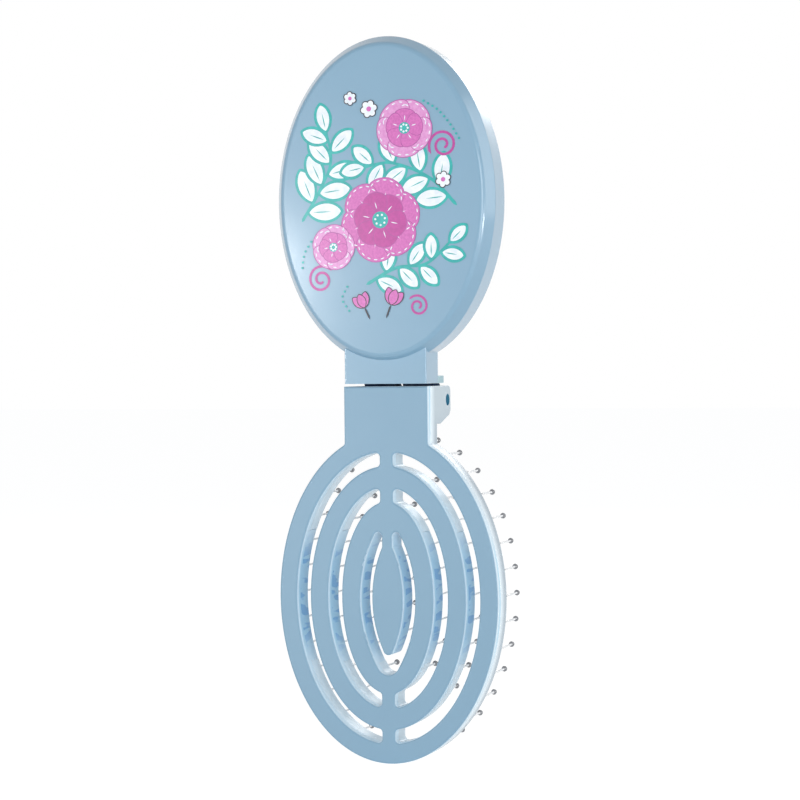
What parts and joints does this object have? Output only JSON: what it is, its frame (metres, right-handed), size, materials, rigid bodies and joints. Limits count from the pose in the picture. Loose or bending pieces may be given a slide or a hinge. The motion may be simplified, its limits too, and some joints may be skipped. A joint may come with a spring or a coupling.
{
  "type": "folding hairbrush with mirror",
  "caption": "Pocket hairbrush: vented oval head with ball-tipped bristles, hinged at the neck to an oval lid that holds a mirror and folds over the bristles.",
  "frame": {"origin": "middle of the brush head's oval, on its flat outer face", "axes": "+Z along the open brush from the brush head to the mirror lid, -Y out of the flat outer face, bristles and mirror towards +Y, +X to the right when the outer faces are looked at"},
  "size_m": [0.0578, 0.0248, 0.1817],
  "materials": {
    "blue_plastic": "satin",
    "white_plastic": "satin",
    "clear_nylon": "gloss",
    "pin_plastic": "satin",
    "mirror": "polished",
    "foam_tape": "matte"
  },
  "bodies": {
    "brush": {"brush_front_plate": "blue_plastic", "bristle_carrier": "white_plastic", "rim_bristles": "clear_nylon", "outer_ring_bristles": "clear_nylon", "inner_ring_bristles": "clear_nylon", "island_bristles": "clear_nylon", "hinge_pin": "pin_plastic"},
    "mirror_lid": {"lid_cover": "blue_plastic", "lid_frame": "blue_plastic", "mirror_glass": "mirror", "mirror_pad": "foam_tape"}
  },
  "joints": [
    {"name": "lid_fold", "type": "hinge", "parent": "brush", "child": "mirror_lid", "pos_m": [0, 0.016, 0.04925], "axis": [-1, 0, 0], "range_deg": [-2, 180]}
  ]
}
